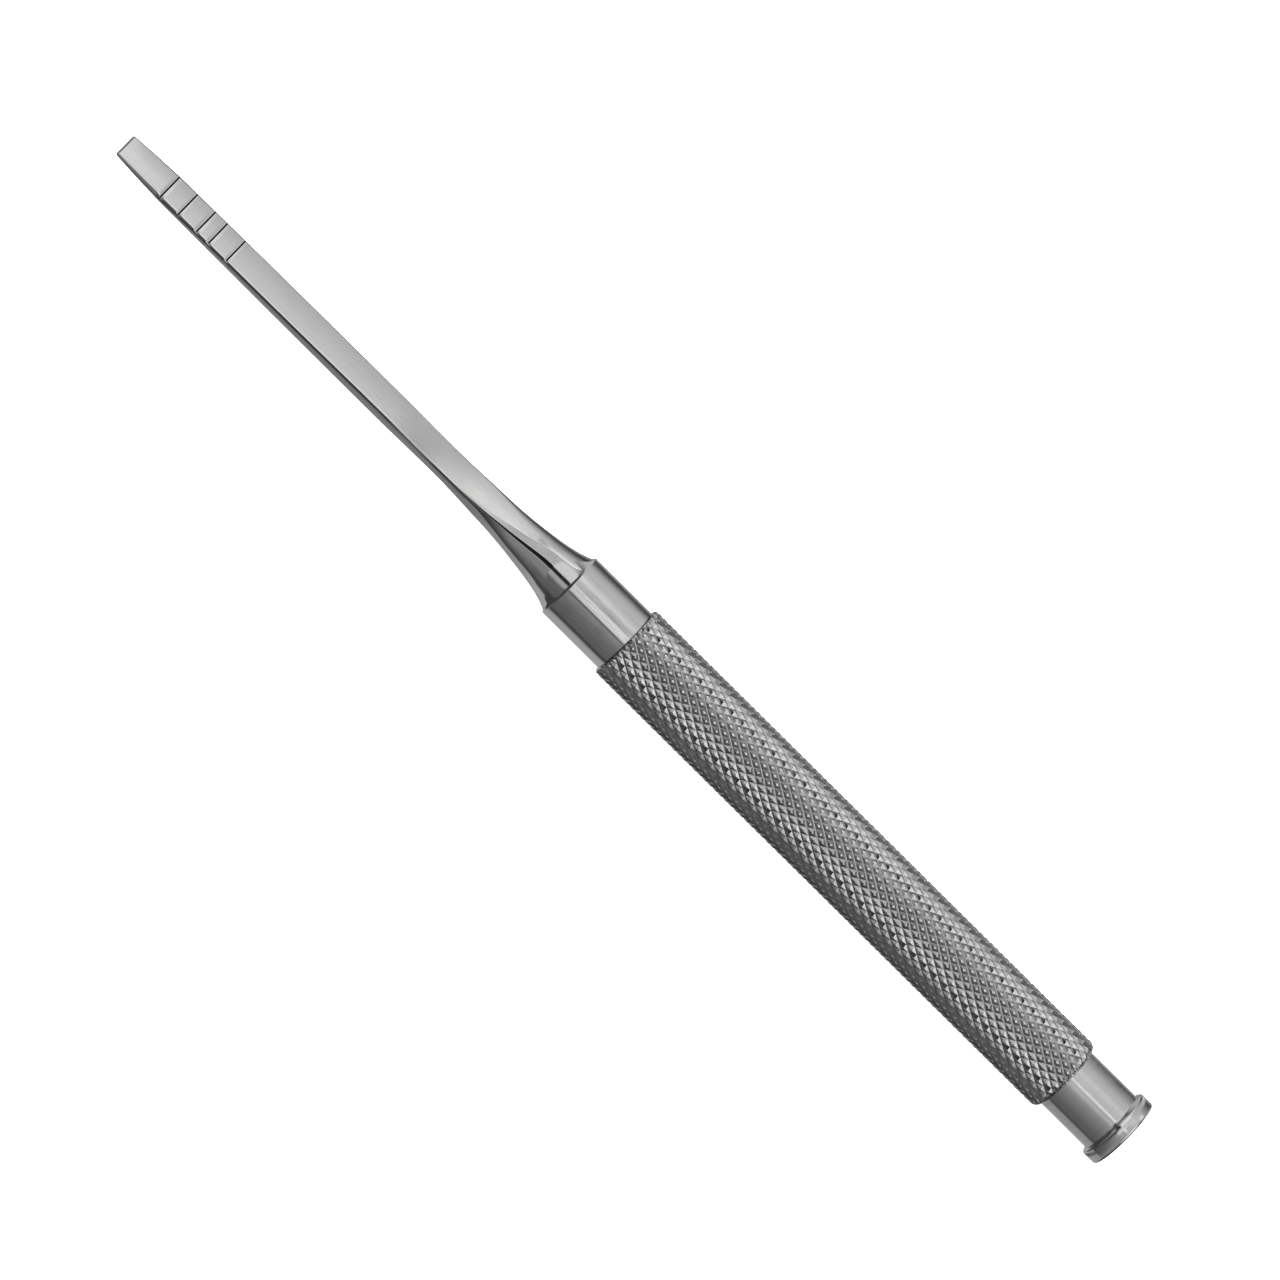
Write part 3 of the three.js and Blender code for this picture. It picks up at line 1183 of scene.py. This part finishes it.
@dataclass
class Viewpoint:
    """Where the tool is looked at from."""

    lean_deg: float = 34.0
    towards_tip_deg: float = 4.5
    distance: float = 1183.8
    aim_x: float = 84.226
    aim_across: float = 1.327
    turn_deg: float = 44.725
    lens: float = 275.8
    film_width: float = 36.0
    nearest: float = 10.0

    def build(self) -> None:
        """Places the camera."""
        lean = math.radians(self.lean_deg)
        tip = math.radians(self.towards_tip_deg)
        turn = math.radians(self.turn_deg)
        level = Vector((0, math.sin(lean), math.cos(lean)))
        across = Vector((0, -math.cos(lean), math.sin(lean)))
        back = level * math.cos(tip) + Vector((math.sin(tip), 0, 0))
        right = Vector((-1, 0, 0)) + back * back.x
        right.normalize()
        up = back.cross(right)
        turned_right = right * math.cos(turn) + up * math.sin(turn)
        turned_up = up * math.cos(turn) - right * math.sin(turn)
        aim = (Vector((self.aim_x, 0, 0)) + across * self.aim_across) * MM
        data = bpy.data.cameras.new("viewpoint")
        data.lens = self.lens
        data.sensor_width = self.film_width
        data.clip_start = self.nearest * MM
        camera = bpy.data.objects.new("viewpoint", data)
        axes = Matrix((turned_right, turned_up, back)).transposed().to_4x4()
        camera.matrix_world = Matrix.Translation(aim + back * self.distance * MM) @ axes
        bpy.context.scene.collection.objects.link(camera)
        bpy.context.scene.camera = camera


@dataclass
class Studio:
    """A pale floor, and a ring of soft panels about the tool that the steel mirrors."""

    lean_deg: float = 34.0
    views: tuple[Panorama, ...] = (
        Panorama(-0.88, DARK),
        Panorama(-0.8, SIDEWAYS),
        Panorama(-0.42, SIDEWAYS),
        Panorama(-0.29, EDGE_LIGHT),
        Panorama(-0.14, BARREL),
        Panorama(-0.124, GRIPWARDS),
        Panorama(-0.1, GRIPWARDS),
        Panorama(-0.084, LEVEL),
        Panorama(-0.067, LEVEL),
        Panorama(-0.052, BROAD_FACE),
        Panorama(0.13, SLOPE),
        Panorama(0.22, RAISED),
        Panorama(0.318, RAISED),
        Panorama(0.338, TIPWARDS),
        Panorama(0.8, TIPWARDS),
        Panorama(0.92, DARK),
    )
    lamp_strength: float = 7.0
    lamp_width_deg: float = 110.0
    floor_size: float = 6000.0
    floor_squares: int = 8
    floor_glow: float = 0.7

    def build(self) -> None:
        """Sets up the floor, the lamp and the panels."""
        self.floor()
        self.lamp()
        self.panels()
        bpy.context.scene.view_settings.view_transform = "Standard"

    def floor(self) -> None:
        """Lays the pale floor under the tool."""
        mesh = bmesh.new()
        count = self.floor_squares
        bmesh.ops.create_grid(mesh, x_segments=count, y_segments=count, size=self.floor_size / 2 * MM)
        data = bpy.data.meshes.new("floor")
        mesh.to_mesh(data)
        mesh.free()
        material = bpy.data.materials.new("pale_floor")
        material.use_nodes = True
        looks = {
            "Base Color": (0.9, 0.9, 0.9, 1.0),
            "Roughness": 1.0,
            "Specular IOR Level": 0.0,
            "Emission Color": WHITE,
            "Emission Strength": self.floor_glow,
        }
        NodeTree(material.node_tree).feed_all(material.node_tree.nodes["Principled BSDF"], looks)
        data.materials.append(material)
        floor = bpy.data.objects.new("floor", data)
        floor.location.z = cad_box[0][2]
        floor.visible_glossy = False
        bpy.context.scene.collection.objects.link(floor)

    def lamp(self) -> None:
        """Hangs one very wide soft lamp overhead, which lights the floor."""
        data = bpy.data.lights.new("overhead", "SUN")
        data.energy = self.lamp_strength
        data.angle = math.radians(self.lamp_width_deg)
        lamp = bpy.data.objects.new("overhead", data)
        lamp.visible_glossy = False
        bpy.context.scene.collection.objects.link(lamp)

    def brightness(self, nodes: NodeTree, around: Socket, view: Panorama) -> Socket:
        """Turns a panorama into a brightness.

        Args:
            nodes: The world's tree.
            around: The angle about the tool, from 0 to 1.
            view: The panorama.

        Returns:
            The brightness.
        """
        ramp = nodes.add("ShaderNodeValToRGB", {0: around})
        elements = ramp.color_ramp.elements
        ready = len(elements)
        for index, (angle, level) in enumerate(view.stops):
            place = (angle + 180) / 360
            stop = elements[index] if index < ready else elements.new(place)
            stop.position = place
            stop.color = (level, level, level, 1.0)
        return ramp.outputs[0]

    def panels(self) -> None:
        """Paints the soft panels, which only the steel and the floor see."""
        world = bpy.data.worlds.new("studio")
        world.use_nodes = True
        bpy.context.scene.world = world
        nodes = NodeTree(world.node_tree)
        background = world.node_tree.nodes["Background"]
        parts = nodes.parts(nodes.add("ShaderNodeTexCoord").outputs["Generated"])
        opposite = nodes.math("MULTIPLY", parts[1], -1.0)
        angle = nodes.math("ARCTAN2", opposite, parts[2])
        leaned = nodes.math("ADD", angle, math.radians(self.lean_deg))
        wrapped = nodes.math("WRAP", leaned, math.pi, -math.pi)
        around = nodes.math("MULTIPLY_ADD", wrapped, 1 / FULL_TURN, 0.5)
        lit = self.brightness(nodes, around, self.views[0])
        for near, far in zip(self.views, self.views[1:]):
            share = nodes.ramp(parts[0], near.heading, far.heading)
            lit = nodes.mix_colour(share, lit, self.brightness(nodes, around, far))
        seen = nodes.add("ShaderNodeLightPath").outputs["Is Camera Ray"]
        nodes.feed(background.inputs["Color"], nodes.mix_colour(seen, lit, WHITE))
        background.inputs["Strength"].default_value = 1.0


# --- the tool


def main() -> None:
    """Builds every piece in order."""
    logging.basicConfig(level=logging.INFO, format="%(name)s: %(message)s")
    Viewpoint().build()
    Blade().build()
    GripSleeve().build()
    StrikeHead().build()
    JoiningParts().build()
    Studio().build()


if __name__ == "__main__":
    main()
